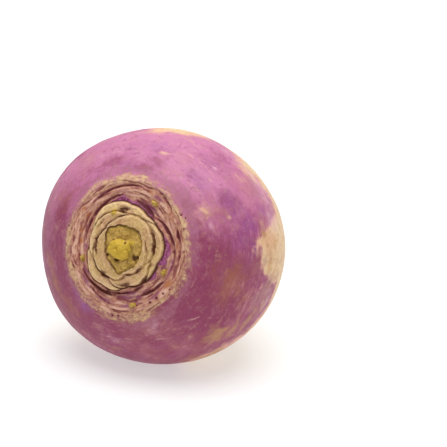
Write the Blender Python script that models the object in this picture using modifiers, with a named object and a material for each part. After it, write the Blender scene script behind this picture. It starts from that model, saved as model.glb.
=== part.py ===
"""A purple-topped turnip, trimmed for the kitchen and lying on its side.

Three pieces stand in one axis frame, whose +Z points out of the crown:
  turnip_root  the swollen root with its old leaf scars, side buds and tap root
  leaf_bases   the cut bases of the youngest leaves, one sheath wrapped round the next
  heart_bud    the growing tip in the middle, with the stubs of its smallest leaves
The empty turnip_axis tilts that frame, so that the turnip rests on a small flat spot on the
ground plane. The leaves follow the golden angle: each is DIVERGENCE round from the next older one.
"""

import math

import bpy
import numpy as np
from mathutils import Matrix, Vector

MM = 0.001

# Swollen root, in millimetres along and round its own axis
RADIUS = 43.5  # mean radius at its widest
CROWN_HEIGHT = 30.2  # widest circle to the crown, if the dome closed there
BASE_DEPTH = 39.0  # widest circle down to where the tap root starts
DOME_POWER = 2.2  # 2 is an ellipse; more makes squarer shoulders
WIDENING = 0.034  # share by which the root is wider across than from top to bottom
LYING_WIDE = math.radians(10.0)  # direction of its widest diameter, round the axis

# Tap root
TAIL_LENGTH = 17.0
TAIL_RADIUS = 1.9
TAIL_FLARE = 7.6
TAIL_FLARE_LENGTH = 4.6
TAIL_BEND = (1.6, -2.4)  # how far its tip strays from the axis

# Leaves, round the crown
DIVERGENCE = math.radians(137.5)
YOUNGEST_BUD = math.radians(339.0)  # direction of the bud next outside the cut bases
SHEATH_LAG = math.radians(17.0)  # how far a sheath's back lags behind its own bud
# The cut leaf bases, oldest first: thickness at the back (mm), how far the sheath wraps to either
# side and how far it strays from its turn (degrees)
CUT_BASES = (
    (3.7, 64.0, 4.0),
    (4.3, 44.0, -7.0),
    (3.4, 56.0, -9.0),
    (4.1, 60.0, -2.0),
    (4.3, 52.0, 5.0),
    (4.3, 90.0, -6.0),
    (5.4, 74.0, 7.0),
    (2.3, 64.0, -11.0),
)
HEART_RADIUS = 7.5
HEART_OVAL = 0.05  # share by which the heart is longer up and down than across
# Corners of the heart, pressed out between the sheaths: direction, reach (mm), half width (degrees)
HEART_CORNERS = ((140.0, 1.5, 16.0), (268.0, 1.3, 15.0), (35.0, 0.8, 22.0))

# The knob of folded leaf stubs on the heart: its middle, its half widths and its height (mm)
KNOB = (-0.7, -0.6, 4.5, 3.6, 2.0)

# Furrows left where older leaves came away. Each runs from one direction to another (degrees) at a
# radius given for its start, middle and end (mm), with a half width and a depth (mm).
FURROWS = (
    (104.0, 178.0, 19.0, 17.2, 16.5, 0.60, 0.9),
    (84.0, 136.0, 21.9, 21.2, 20.2, 0.60, 0.9),
    (138.0, 172.0, 18.9, 18.4, 18.2, 0.50, 0.5),
    (46.0, 78.0, 20.9, 22.9, 22.2, 0.50, 0.6),
    (56.0, 84.0, 15.0, 15.9, 16.9, 0.65, 0.9),
    (-2.0, 31.0, 20.6, 20.4, 20.4, 0.55, 0.9),
    (-12.0, 52.0, 18.6, 17.4, 14.9, 0.60, 0.9),
    (300.0, 332.0, 17.4, 17.6, 18.2, 0.55, 0.8),
    (254.0, 304.0, 17.2, 15.3, 14.7, 0.60, 0.9),
    (216.0, 262.0, 18.7, 18.1, 16.9, 0.60, 0.9),
    (236.0, 260.0, 19.4, 19.9, 20.4, 0.50, 0.6),
    (194.0, 206.0, 18.4, 19.0, 19.6, 0.50, 0.5),
)
CORK_INNER = 22.0  # the corky collar outside the furrows
CORK_OUTER = 26.8
CORK_HEIGHT = 0.35

# Side buds, each in the angle of an old leaf
SIDE_BUDS = 4
SIDE_BUD_RADIUS = 1.05
FIRST_BUD_RADIUS = 16.5
BUD_SPACING = 1.1
INNER_BUD_RADIUS = 12.9  # where the oldest cut base holds its own bud

# The sockets in which the younger pieces sit
GAP = 0.4
SOCKET_FLOOR = 23.6
HEART_FLOOR = 26.2
BASES_TOP = 30.0  # height of the cut bases where they meet the heart
HEART_TOP = 30.3
CLUSTER_RADIUS = 15.6  # nominal radius of the cut bases' outer edge

# Lying on the ground
AXIS_TILT = math.radians(19.5)  # how far the crown points above the horizon
AXIS_HEIGHT = 40.1  # the middle of the widest circle above the ground
AXIS_BACK = -1.93  # where that middle stands along Y; the flat spot is round the ground's origin

STEPS = 76  # facets round each turned piece


def smooth(x):
    """0 below 0, 1 above 1, and a smooth rise between."""
    x = np.clip(x, 0.0, 1.0)
    return x * x * (3.0 - 2.0 * x)


def turned(angle):
    """An angle brought to within half a turn of zero."""
    return (angle + math.pi) % (2.0 * math.pi) - math.pi


def hump(angle, middle, half_width):
    """1 at middle, falling to 0 at half_width to either side, as a cosine does."""
    away = np.abs(turned(angle - middle))
    return np.where(away < half_width, np.cos(0.5 * math.pi * away / half_width), 0.0)


def bell(x, width):
    return np.exp(-((x / width) ** 2))


# ---- where the leaves stand -------------------------------------------------------------------


def bud_angle(number):
    """Direction of an old leaf's side bud; 0 is the youngest, and older ones lie outside it."""
    return YOUNGEST_BUD - number * DIVERGENCE


def base_angle(number):
    """Direction of a cut leaf base's back; 0 is the oldest and outermost."""
    return bud_angle(-number - 1) - SHEATH_LAG


def heart_edge(angle):
    edge = HEART_RADIUS * (1.0 - HEART_OVAL * np.cos(2.0 * (angle - LYING_WIDE)))
    for direction, reach, half_width in HEART_CORNERS:
        edge = edge + reach * bell(turned(angle - math.radians(direction)), math.radians(half_width))
    return edge


def sheath_edges(angle):
    """Radii of the cut bases' edges, from the heart outwards: each sheath adds its own thickness."""
    edges = [heart_edge(angle)]
    for number in reversed(range(len(CUT_BASES))):
        thickness, half_wrap, stray = CUT_BASES[number]
        middle = base_angle(number) + math.radians(stray)
        edges.append(edges[-1] + thickness * hump(angle, middle, math.radians(half_wrap)))
    return edges


def cluster_edge(angle):
    return sheath_edges(angle)[-1]


# ---- the skin's shape -------------------------------------------------------------------------


def dome(radius):
    """Height of the crown end of the root at a radius."""
    share = np.clip(radius / RADIUS, 0.0, 1.0)
    return CROWN_HEIGHT * (1.0 - share**DOME_POWER) ** (1.0 / DOME_POWER)


def outline_factor(angle):
    """How far the root stands out of round, by direction."""
    wide = WIDENING * np.cos(2.0 * (angle - LYING_WIDE))
    full_shoulder = 0.028 * bell(turned(angle - math.radians(150.0)), 0.65)
    slack_shoulder = 0.014 * bell(turned(angle - math.radians(62.0)), 0.5)
    return 1.0 + wide + full_shoulder - slack_shoulder


def swell(angle, height):
    """Slow unevenness of the skin, in millimetres."""
    ribs = 0.30 * np.sin(5.0 * angle + 0.7) * np.sin(0.07 * height + 1.1)
    bumps = 0.25 * np.sin(3.0 * angle - 0.11 * height + 2.0)
    return ribs + bumps


def along_arc(angle, start, end):
    """How far round an arc a direction lies: 0 at its start and 1 at its end, in degrees."""
    middle = math.radians(0.5 * (start + end))
    return 0.5 + turned(angle - middle) / math.radians(end - start)


def furrow_depth(angle, radius):
    """Depth of the furrows that older leaves left: thin arcs that taper to their ends."""
    depth = np.zeros_like(angle)
    for start, end, first, middle, last, half_width, deep in FURROWS:
        share = along_arc(angle, start, end)
        bow = 4.0 * share * (1.0 - share)
        line = first + (last - first) * share + (middle - 0.5 * (first + last)) * bow
        taper = np.sqrt(np.clip(bow, 0.0, 1.0))
        depth = np.maximum(depth, deep * taper * bell(radius - line, half_width))
    return depth


def crown_relief(angle, radius):
    """What is added to the dome near the crown: a hollow round the bases, furrows and the cork."""
    hollow = -1.5 * bell(radius - 16.6, 3.2)
    cork = smooth((radius - CORK_INNER) / 1.2) * smooth((CORK_OUTER - radius) / 1.6)
    roughness = 0.5 + 0.5 * np.sin(17.0 * angle + 3.0 * radius)
    terrace = 0.35 * smooth((radius - 18.6) / 1.4)
    return hollow + terrace - furrow_depth(angle, radius) + CORK_HEIGHT * cork * (0.6 + 0.4 * roughness)


def place_root(radius, height, angle):
    """Moves points of the plain turned root to the real, uneven surface."""
    inner = np.clip(radius / CLUSTER_RADIUS, 0.0, 1.0)
    outer = 1.0 - smooth((radius - CLUSTER_RADIUS) / 7.0)
    above = height > 0.0
    pushed = radius + np.where(above, (cluster_edge(angle) - CLUSTER_RADIUS) * inner * outer, 0.0)
    body = smooth((radius - 12.0) / 26.0)
    pushed = pushed * (1.0 + (outline_factor(angle) - 1.0) * body) + swell(angle, height) * body
    on_crown = above & (radius > CLUSTER_RADIUS + GAP - 0.01)
    lift = np.where(on_crown, crown_relief(angle, pushed), 0.0)
    down_tail = np.clip((-height - BASE_DEPTH + 6.0) / (TAIL_LENGTH + 6.0), 0.0, 1.0) ** 2
    x = pushed * np.cos(angle) + TAIL_BEND[0] * down_tail
    y = pushed * np.sin(angle) + TAIL_BEND[1] * down_tail
    return rest_on_ground(np.stack([x, y, height + lift], axis=1))


def rest_on_ground(points):
    """Presses whatever would reach under the ground plane up to it, which makes the flat spot."""
    upward = np.array([0.0, math.cos(AXIS_TILT), math.sin(AXIS_TILT)])
    under = np.maximum(-AXIS_HEIGHT - points @ upward, 0.0)
    return points + np.outer(under, upward)


def root_profile():
    """(radius, height) from the middle of the crown's socket, over the shoulder, to the tail's tip."""
    rim = CLUSTER_RADIUS + GAP
    rows = [(0.0, SOCKET_FLOOR), (7.5, SOCKET_FLOOR), (rim - 1.3, SOCKET_FLOOR)]
    rows += [(rim - 0.15, SOCKET_FLOOR + 0.7), (rim - 0.1, float(dome(rim)) - 2.2)]
    crown = np.concatenate([np.arange(rim, 23.6, 0.6), np.arange(23.8, 28.5, 1.1)])
    rows += [(r, float(dome(r))) for r in crown]
    last = math.acos(crown[-1] / RADIUS)
    for step in np.linspace(last, 0.0, 10)[1:]:
        r = RADIUS * math.cos(step)
        rows.append((r, float(dome(r))))
    depths = [BASE_DEPTH * math.sin(step) for step in np.linspace(0.0, math.radians(76.0), 13)[1:]]
    depths += [BASE_DEPTH + below for below in (-0.9, 0.0, 1.5, 4.1)]
    depths += [BASE_DEPTH + TAIL_LENGTH * share for share in (0.45, 0.7, 0.9)]
    rows += [widened_tail(depth) for depth in depths]
    tail_end = BASE_DEPTH + TAIL_LENGTH
    rows += [(0.8 * TAIL_RADIUS, -tail_end), (0.0, -tail_end - 0.5)]
    return rows


def widened_tail(depth):
    """(radius, height) at a depth below the widest circle, where the globe runs into the tap root."""
    share = min(depth / BASE_DEPTH, 1.0)
    globe = RADIUS * math.sqrt(1.0 - share * share)
    beyond = max(depth - BASE_DEPTH + 4.0, 0.0)
    tail = TAIL_RADIUS + TAIL_FLARE * math.exp(-beyond / TAIL_FLARE_LENGTH)
    return ((globe**4 + tail**4) ** 0.25, -depth)


def terrace_height(angle, radius):
    """Height of the cut bases: flat-topped sheaths, higher towards the heart, with furrows between."""
    edges = sheath_edges(angle)
    height = BASES_TOP - 0.12 * (radius - HEART_RADIUS)
    for number, (inner, outer) in enumerate(zip(edges[:-1], edges[1:])):
        present = smooth(np.maximum(outer - inner, 0.01) / 0.9)
        height -= 0.42 * smooth((radius - outer) / 0.4 + 0.5) * present
        height -= 0.6 * bell(radius - outer, 0.35) * present * (number < len(CUT_BASES) - 1)
    bud = bud_angle(-1)
    away = np.hypot(radius * np.sin(angle - bud), radius * np.cos(angle - bud) - INNER_BUD_RADIUS)
    height += 1.3 * bell(away, 1.2)
    rounded = smooth((edges[-1] - radius) / 0.9)
    return height - 0.7 * (1.0 - rounded)


def place_bases(radius, height, angle):
    """Moves points of the plain turned ring to the cut leaf bases' real shape."""
    inner_edge = heart_edge(angle)
    outer_edge = cluster_edge(angle)
    share = (radius - HEART_RADIUS) / (CLUSTER_RADIUS - HEART_RADIUS)
    across = inner_edge + (outer_edge - inner_edge) * np.clip(share, 0.0, 1.0)
    pushed = np.where(radius < HEART_RADIUS, radius * inner_edge / HEART_RADIUS, across)
    top = height > BASES_TOP - 1.0
    lifted = np.where(top, terrace_height(angle, pushed), height)
    return np.stack([pushed * np.cos(angle), pushed * np.sin(angle), lifted], axis=1)


def bases_profile():
    """(radius, height) of the ring of cut bases with the heart's socket in its middle."""
    rows = [(0.0, HEART_FLOOR), (HEART_RADIUS - 0.4, HEART_FLOOR), (HEART_RADIUS, HEART_FLOOR + 0.5)]
    rows += [(r, BASES_TOP) for r in np.linspace(HEART_RADIUS + 0.02, CLUSTER_RADIUS, 19)]
    rows += [(CLUSTER_RADIUS, SOCKET_FLOOR + GAP + 0.9), (CLUSTER_RADIUS - 0.6, SOCKET_FLOOR + GAP)]
    rows.append((0.0, SOCKET_FLOOR + GAP))
    return rows


def heart_stubs():
    """(x, y, radius, height) of the stubs of the smallest leaves, by the golden angle."""
    stubs = []
    for number in range(8):
        angle = bud_angle(-len(CUT_BASES) - 1 - number)
        reach = 3.1 * math.sqrt((8.5 - number) / 8.5)
        x = KNOB[0] + 1.15 * reach * math.cos(angle)
        y = KNOB[1] + 0.85 * reach * math.sin(angle)
        stubs.append((x, y, 1.9 - 0.06 * number, 0.65 + 0.06 * number))
    return stubs


def place_heart(radius, height, angle):
    """Moves points of the plain turned heart to its lumpy dome."""
    edge = heart_edge(angle) - GAP
    pushed = radius * edge / (HEART_RADIUS - GAP)
    x = pushed * np.cos(angle)
    y = pushed * np.sin(angle)
    top = height > HEART_TOP - 1.0
    face = HEART_TOP - 0.5 * (pushed / edge) ** 2 - 0.5 * smooth((pushed - edge + 1.1) / 1.1)
    across = ((x - KNOB[0]) / KNOB[2]) ** 2 + ((y - KNOB[1]) / KNOB[3]) ** 2
    knob = KNOB[4] * np.sqrt(np.clip(1.0 - across, 0.0, 1.0))
    lumps = np.zeros_like(x)
    for stub_x, stub_y, size, tall in heart_stubs():
        away = np.hypot(x - stub_x, y - stub_y)
        lumps = np.maximum(lumps, tall * np.sqrt(np.clip(1.0 - (away / size) ** 2, 0.0, 1.0)))
    return np.stack([x, y, np.where(top, face + knob + lumps, height)], axis=1)


def heart_profile():
    edge = HEART_RADIUS - GAP
    rows = [(r, HEART_TOP) for r in np.linspace(0.0, edge, 13)]
    rows += [(edge, HEART_FLOOR + GAP + 0.8), (edge - 0.5, HEART_FLOOR + GAP)]
    rows.append((0.0, HEART_FLOOR + GAP))
    return rows


# ---- building ---------------------------------------------------------------------------------


def clear_scene():
    for item in list(bpy.data.objects):
        bpy.data.objects.remove(item)


def new_collection(name):
    made = bpy.data.collections.new(name)
    bpy.context.scene.collection.children.link(made)
    return made


def material(name, colour, roughness):
    made = bpy.data.materials.new(name)
    made.use_nodes = True
    shader = made.node_tree.nodes["Principled BSDF"]
    shader.inputs["Base Color"].default_value = (*colour, 1.0)
    shader.inputs["Roughness"].default_value = roughness
    shader.inputs["Metallic"].default_value = 0.0
    return made


def turned_mesh(name, profile, steps, collection):
    """An object turned from a profile in millimetres, as a plain mesh."""
    outline = bpy.data.meshes.new(name + "_profile")
    points = [(r * MM, 0.0, z * MM) for r, z in profile]
    outline.from_pydata(points, [(i, i + 1) for i in range(len(points) - 1)], [])
    guide = bpy.data.objects.new(name + "_profile", outline)
    collection.objects.link(guide)
    screw = guide.modifiers.new("Turn", "SCREW")
    screw.steps = steps
    screw.render_steps = steps
    screw.use_merge_vertices = True
    screw.merge_threshold = 1e-6
    bpy.context.view_layer.update()
    graph = bpy.context.evaluated_depsgraph_get()
    mesh = bpy.data.meshes.new_from_object(guide.evaluated_get(graph))
    bpy.data.objects.remove(guide)
    bpy.data.meshes.remove(outline)
    mesh.name = name
    made = bpy.data.objects.new(name, mesh)
    collection.objects.link(made)
    return made


def reshape(obj, place):
    """Sends every point of a turned mesh through a placing formula."""
    mesh = obj.data
    flat = np.empty(len(mesh.vertices) * 3)
    mesh.vertices.foreach_get("co", flat)
    x, y, z = flat.reshape(-1, 3).T / MM
    moved = place(np.hypot(x, y), z, np.arctan2(y, x)) * MM
    mesh.vertices.foreach_set("co", moved.ravel())
    mesh.update()


def side_bud(number, collection):
    """A small bud in the angle of an old leaf, sunk into the crown."""
    angle = bud_angle(number)
    radius = FIRST_BUD_RADIUS + BUD_SPACING * number
    relief = crown_relief(np.array([angle]), np.array([radius]))
    height = float(dome(radius) + relief[0]) - 0.1
    bpy.ops.mesh.primitive_uv_sphere_add(segments=10, ring_count=6, radius=SIDE_BUD_RADIUS * MM)
    bud = bpy.context.object
    bud.name = f"side_bud_{number}"
    bud.scale = (0.8, 1.35, 1.15)
    bud.rotation_euler = (0.0, 0.0, angle)
    bud.location = Vector((radius * math.cos(angle), radius * math.sin(angle), height)) * MM
    for owner in list(bud.users_collection):
        owner.objects.unlink(bud)
    collection.objects.link(bud)
    return bud


def join_all(obj, collection):
    """One union of an object with everything in a collection, applied; the joined pieces then go."""
    union = obj.modifiers.new("Join", "BOOLEAN")
    union.operation = "UNION"
    union.operand_type = "COLLECTION"
    union.collection = collection
    union.solver = "EXACT"
    bpy.context.view_layer.update()
    graph = bpy.context.evaluated_depsgraph_get()
    joined = bpy.data.meshes.new_from_object(obj.evaluated_get(graph))
    obj.modifiers.remove(union)
    obj.data = joined
    for item in list(collection.objects):
        bpy.data.objects.remove(item)
    bpy.data.collections.remove(collection)


def lay_down():
    """Matrix that stands the axis frame in place, its +Z, the crown, facing -Y and a little up."""
    place = Matrix.Translation(Vector((0.0, AXIS_BACK, AXIS_HEIGHT)) * MM)
    return place @ Matrix.Rotation(math.radians(90.0) - AXIS_TILT, 4, "X")


def finish(obj, parent, look):
    obj.data.materials.clear()
    obj.data.materials.append(look)
    obj.data.shade_smooth()
    obj.data.set_sharp_from_angle(angle=math.radians(50.0))
    obj.parent = parent


def build():
    clear_scene()
    parts = new_collection("turnip")
    root = turned_mesh("turnip_root", root_profile(), STEPS, parts)
    reshape(root, place_root)
    buds = new_collection("side_buds")
    for number in range(SIDE_BUDS):
        side_bud(number, buds)
    join_all(root, buds)
    bases = turned_mesh("leaf_bases", bases_profile(), STEPS, parts)
    reshape(bases, place_bases)
    heart = turned_mesh("heart_bud", heart_profile(), STEPS, parts)
    reshape(heart, place_heart)

    axis = bpy.data.objects.new("turnip_axis", None)
    parts.objects.link(axis)
    axis.matrix_world = lay_down()
    finish(root, axis, material("turnip_skin", (0.46, 0.15, 0.25), 0.42))
    finish(bases, axis, material("cut_leaf_base", (0.60, 0.42, 0.20), 0.6))
    finish(heart, axis, material("heart_green", (0.52, 0.38, 0.07), 0.6))


build()
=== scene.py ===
"""The looks of a purple-topped turnip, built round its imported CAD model.

The shape formulas are those of the CAD source, in millimetres in the turnip's own axis frame
(+Z out of the crown), sampled finely and with the small relief added. What is painted on, such as
purple, cork and furrows, is worked out at each point as a mask, which the materials read.
"""

from itertools import product
from math import acos, cos, degrees, pi, prod, radians, sin, sqrt

import bpy
import numpy as np
from mathutils import Matrix, Vector


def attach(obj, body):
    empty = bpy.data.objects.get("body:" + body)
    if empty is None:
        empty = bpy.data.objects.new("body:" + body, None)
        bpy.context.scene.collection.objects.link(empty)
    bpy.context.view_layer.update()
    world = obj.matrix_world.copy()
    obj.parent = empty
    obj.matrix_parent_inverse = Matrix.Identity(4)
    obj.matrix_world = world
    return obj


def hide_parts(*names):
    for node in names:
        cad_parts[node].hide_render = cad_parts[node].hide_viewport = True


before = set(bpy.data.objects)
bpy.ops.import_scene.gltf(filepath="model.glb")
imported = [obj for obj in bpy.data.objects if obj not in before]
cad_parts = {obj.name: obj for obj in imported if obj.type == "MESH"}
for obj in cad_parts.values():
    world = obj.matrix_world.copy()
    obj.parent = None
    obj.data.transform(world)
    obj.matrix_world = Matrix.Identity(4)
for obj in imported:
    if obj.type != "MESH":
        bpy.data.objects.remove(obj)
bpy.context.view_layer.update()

MM = 0.001

# ---- the CAD model's own dimensions, millimetres ----

RADIUS = 43.5
CROWN_HEIGHT = 30.2
BASE_DEPTH = 39.0
DOME_POWER = 2.2
WIDENING = 0.034
LYING_WIDE = radians(10.0)

TAIL_LENGTH = 17.0
TAIL_RADIUS = 1.9
TAIL_FLARE = 7.6
TAIL_FLARE_LENGTH = 4.6
TAIL_BEND = (1.6, -2.4)

DIVERGENCE = radians(137.5)
YOUNGEST_BUD = radians(339.0)
SHEATH_LAG = radians(17.0)
# Cut leaf bases, oldest first: thickness (mm), wrap to either side and stray (degrees)
CUT_BASES = (
    (3.7, 64, 4), (4.3, 44, -7), (3.4, 56, -9), (4.1, 60, -2), (4.3, 52, 5), (4.3, 90, -6),
    (5.4, 74, 7), (2.3, 64, -11),
)
HEART_RADIUS = 7.5
HEART_OVAL = 0.05
# Corners of the heart: direction (degrees), how far it reaches out (mm), half width (degrees)
HEART_CORNERS = ((140, 1.5, 16), (268, 1.3, 15), (35, 0.8, 22))
# The knob in the heart: its middle, half length, half width and height (mm)
KNOB = (-0.7, -0.6, 4.5, 3.6, 2.0)

# Furrows: from, to (degrees), radius at start, middle and end, half width, depth (mm)
FURROWS = (
    (104, 178, 19, 17.2, 16.5, 0.6, 0.9), (84, 136, 21.9, 21.2, 20.2, 0.6, 0.9),
    (138, 172, 18.9, 18.4, 18.2, 0.5, 0.5), (46, 78, 20.9, 22.9, 22.2, 0.5, 0.6),
    (56, 84, 15, 15.9, 16.9, 0.65, 0.9), (-2, 31, 20.6, 20.4, 20.4, 0.55, 0.9),
    (-12, 52, 18.6, 17.4, 14.9, 0.6, 0.9), (300, 332, 17.4, 17.6, 18.2, 0.55, 0.8),
    (254, 304, 17.2, 15.3, 14.7, 0.6, 0.9), (216, 262, 18.7, 18.1, 16.9, 0.6, 0.9),
    (236, 260, 19.4, 19.9, 20.4, 0.5, 0.6), (194, 206, 18.4, 19, 19.6, 0.5, 0.5),
)
CORK_INNER = 22.0
CORK_OUTER = 26.8
CORK_HEIGHT = 0.35

SIDE_BUDS = 4
SIDE_BUD_RADIUS = 1.05
FIRST_BUD_RADIUS = 16.5
BUD_SPACING = 1.1
INNER_BUD_RADIUS = 12.9

GAP = 0.4
SOCKET_FLOOR = 23.6
HEART_FLOOR = 26.2
BASES_TOP = 30.0
HEART_TOP = 30.3
CLUSTER_RADIUS = 15.6

AXIS_TILT = radians(19.5)
AXIS_HEIGHT = 40.1  # the middle of the widest circle above the ground
AXIS_BACK = -1.93  # and its place along Y
UPWARD = np.array([0.0, cos(AXIS_TILT), sin(AXIS_TILT)])  # in the axis frame

# ---- what is finer here than in the CAD model ----

ROOT_STEPS = 480
BASES_STEPS = 500
HEART_STEPS = 300
HEART_GAP = 0.10  # the seams round the heart and the bases, finer than the solids' gap
BASES_GAP = 0.16
RIM_ROW = 5  # the row of the root at the rim of the bases' socket
RIM_ARC = 16.1  # from the crown's middle to that rim, along the dome
PIT_DEPTH = 0.5
SHOOT = (3.2, 2.2, 1.7)  # a low swelling beside the knob: its middle and half width
BUD_STEPS = 28
BUD_ROWS = 12
BUD_HEIGHT = 2.1
ROOTLETS = 22
ROOTLET_SIDES = 7
ROOTLET_POINTS = 9

# Sides of the turnip, round its axis: middle and half width (degrees)
OPEN_SIDE = (158, 52)  # the cut bases lie against the collar with hardly a seam
MERGED_SIDE = (0, 48)  # the heart runs into the base beside it
# On this side the furrows are painted in the brown of the painted shadow at the foot of the cut
# bases.
SHADED_SIDE = (-95, 60)  # the furrows are as brown as the foot of the cut bases
HALO_SIDE = (50, degrees(1))  # the halo round the cork is widest
WINDOW_SIDE = (8, degrees(0.6))  # the purple ends sharply at a bare patch
DARKER_SIDE = radians(-10)  # the outer cut bases are less pale


def smooth(x):
    x = np.clip(x, 0, 1)
    return x * x * (3 - 2 * x)


def turned(angle):
    return (angle + pi) % (2 * pi) - pi


def hump(angle, middle, half_width):
    away = np.abs(turned(angle - middle))
    return np.where(away < half_width, np.cos(0.5 * pi * away / half_width), 0)


def bell(x, width):
    return np.exp(-((x / width) ** 2))


def side(angle, place):
    """1 in the middle of a side of the turnip, falling to 0 at its ends."""
    middle, half_width = place
    return hump(angle, radians(middle), radians(half_width))


def round_axis(angle, size, along):
    """Coordinates that run round the axis without a seam, and along something else."""
    return size * np.cos(angle), size * np.sin(angle), along


def lattice(cell, seed):
    """A repeatable value from -1 to 1 for each whole-numbered cell."""
    mixed = cell[0] * 374761393 + cell[1] * 668265263 + cell[2] * 1440662683 + seed * 974634777
    mixed = mixed & 0xFFFFFFFF
    mixed = ((mixed ^ (mixed >> 13)) * 1274126177) & 0xFFFFFFFF
    return ((mixed ^ (mixed >> 16)) & 0xFFFF) / 32767.5 - 1


def noise(x, y, z, seed=0, octaves=1):
    """Smooth noise of about -1 to 1 with features of size 1, with finer octaves added."""
    total = np.zeros(np.broadcast(x, y, z).shape)
    share = 1
    for octave in range(octaves):
        spots = [np.asarray(v, float) * 2**octave + 31.7 * octave for v in (x, y, z)]
        cells = [np.floor(v).astype(np.int64) for v in spots]
        blend = [smooth(v - c) for v, c in zip(spots, cells)]
        for offset in product((0, 1), repeat=3):
            weight = prod(b if o else 1 - b for b, o in zip(blend, offset))
            total += share * weight * lattice([c + o for c, o in zip(cells, offset)], seed + octave)
        share *= 0.5
    return total


# ---- the CAD model's shape formulas ----


def bud_angle(number):
    return YOUNGEST_BUD - number * DIVERGENCE


def base_angle(number):
    return bud_angle(-number - 1) - SHEATH_LAG


def bulges(places, angle):
    """What soft bulges round the axis add: direction (degrees), reach, half width (degrees)."""
    total = 0
    for direction, reach, half_width in places:
        away = turned(angle - radians(direction))
        total = total + reach * bell(away, radians(half_width))
    return total


def heart_edge(angle):
    oval = 1 - HEART_OVAL * np.cos(2 * (angle - LYING_WIDE))
    return HEART_RADIUS * oval + bulges(HEART_CORNERS, angle)


def sheath_edges(angle):
    edges = [heart_edge(angle)]
    for number in reversed(range(len(CUT_BASES))):
        thickness, half_wrap, stray = CUT_BASES[number]
        middle = base_angle(number) + radians(stray)
        edges.append(edges[-1] + thickness * hump(angle, middle, radians(half_wrap)))
    return edges


def cluster_edge(angle):
    return sheath_edges(angle)[-1]


def dome(radius):
    share = np.clip(radius / RADIUS, 0, 1)
    return CROWN_HEIGHT * (1 - share**DOME_POWER) ** (1 / DOME_POWER)


def outline_factor(angle):
    wide = WIDENING * np.cos(2 * (angle - LYING_WIDE))
    shoulders = ((150, 0.028, degrees(0.65)), (62, -0.014, degrees(0.5)))
    return 1 + wide + bulges(shoulders, angle)


def swell(angle, height):
    ribs = 0.3 * np.sin(5 * angle + 0.7) * np.sin(0.07 * height + 1.1)
    bumps = 0.25 * np.sin(3 * angle - 0.11 * height + 2)
    return ribs + bumps


def arc_lines(lines, angle, across):
    """The strongest of some thin arcs round the axis at each point, tapering to their ends."""
    most = np.zeros_like(angle)
    for start, end, first, middle, last, half_width, strength in lines:
        share = 0.5 + turned(angle - radians(0.5 * (start + end))) / radians(end - start)
        bow = 4 * share * (1 - share)
        line = first + (last - first) * share + (middle - 0.5 * (first + last)) * bow
        taper = np.sqrt(np.clip(bow, 0, 1))
        most = np.maximum(most, strength * taper * bell(across - line, half_width))
    return most


def cork_outer(angle):
    """Radius of the cork's outer edge, which is a little oval."""
    return CORK_OUTER - 1.4 - 0.6 * np.cos(2 * (angle - LYING_WIDE))


def crown_relief(angle, radius):
    hollow = -1.5 * bell(radius - 16.6, 3.2)
    cork = smooth((radius - CORK_INNER) / 1.2) * smooth((cork_outer(angle) - radius) / 1.6)
    roughness = 0.5 + 0.5 * np.sin(17 * angle + 3 * radius)
    terrace = 0.35 * smooth((radius - 18.6) / 1.4)
    cork = CORK_HEIGHT * cork * (0.6 + 0.4 * roughness)
    return hollow + terrace - arc_lines(FURROWS, angle, radius) + cork


def widened_tail(depth):
    share = np.minimum(depth / BASE_DEPTH, 1)
    globe = RADIUS * np.sqrt(1 - share * share)
    beyond = np.maximum(depth - BASE_DEPTH + 4, 0)
    tail = TAIL_RADIUS + TAIL_FLARE * np.exp(-beyond / TAIL_FLARE_LENGTH)
    return (globe**4 + tail**4) ** 0.25


def terrace_height(angle, radius):
    edges = sheath_edges(angle)
    height = BASES_TOP - 0.12 * (radius - HEART_RADIUS)
    for number, (inner, outer) in enumerate(zip(edges[:-1], edges[1:])):
        present = smooth(np.maximum(outer - inner, 0.01) / 0.9)
        height -= 0.42 * smooth((radius - outer) / 0.4 + 0.5) * present
        height -= 0.6 * bell(radius - outer, 0.35) * present * (number < len(CUT_BASES) - 1)
    bud = bud_angle(-1)
    away = np.hypot(radius * np.sin(angle - bud), radius * np.cos(angle - bud) - INNER_BUD_RADIUS)
    height += 1.3 * bell(away, 1.2)
    rounded = smooth((edges[-1] - radius) / 0.9)
    return height - 0.7 * (1 - rounded)


def heart_stubs():
    stubs = []
    for number in range(8):
        angle = bud_angle(-len(CUT_BASES) - 1 - number)
        reach = 3.1 * sqrt((8.5 - number) / 8.5)
        x = KNOB[0] + 1.15 * reach * cos(angle)
        y = KNOB[1] + 0.85 * reach * sin(angle)
        stubs.append((x, y, 1.9 - 0.06 * number, 0.65 + 0.06 * number))
    return stubs


# ---- marks on the skin ----

# The purple ends at this arc from the crown's middle, and comes short of it or passes it here and
# there: direction (degrees), by how much (mm), half width (degrees)
PURPLE_END = 63.5
PURPLE_SHIFTS = (
    (97, -9.5, 13), (80, -3, 9), (11.5, -16, 10.5), (-1, -5.5, 6.5), (46, -4.5, 16), (-26, 2.5, 11),
    (-58, -7, 13), (-92, -3, 15), (-128, 4, 16), (165, 5, 18), (138, -3, 12), (-165, -5, 9),
)

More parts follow.
